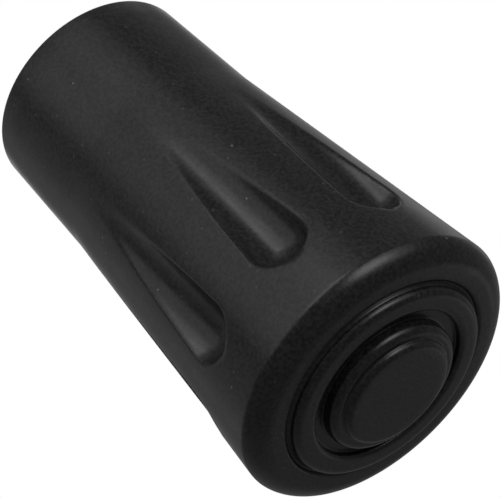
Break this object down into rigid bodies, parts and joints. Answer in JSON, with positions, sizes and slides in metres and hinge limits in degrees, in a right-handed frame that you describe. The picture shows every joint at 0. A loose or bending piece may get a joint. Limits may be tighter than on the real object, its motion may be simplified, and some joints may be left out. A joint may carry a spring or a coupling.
{
  "type": "trekking pole tip",
  "caption": "Black moulded rubber tip that pushes over the end of a walking pole: a flared body with run-out flutes, a stepped ring base and a blind socket.",
  "frame": {"origin": "centre of the foot, on the surface that the tip stands on", "axes": "+Z along the tip's axis, from the foot up to the mouth of the socket; one flute faces +X"},
  "size_m": [0.029, 0.029, 0.05],
  "materials": {
    "rubber": "satin moulded rubber, slightly dusty"
  },
  "bodies": {
    "root": {"rubber_tip": "rubber"}
  },
  "joints": []
}
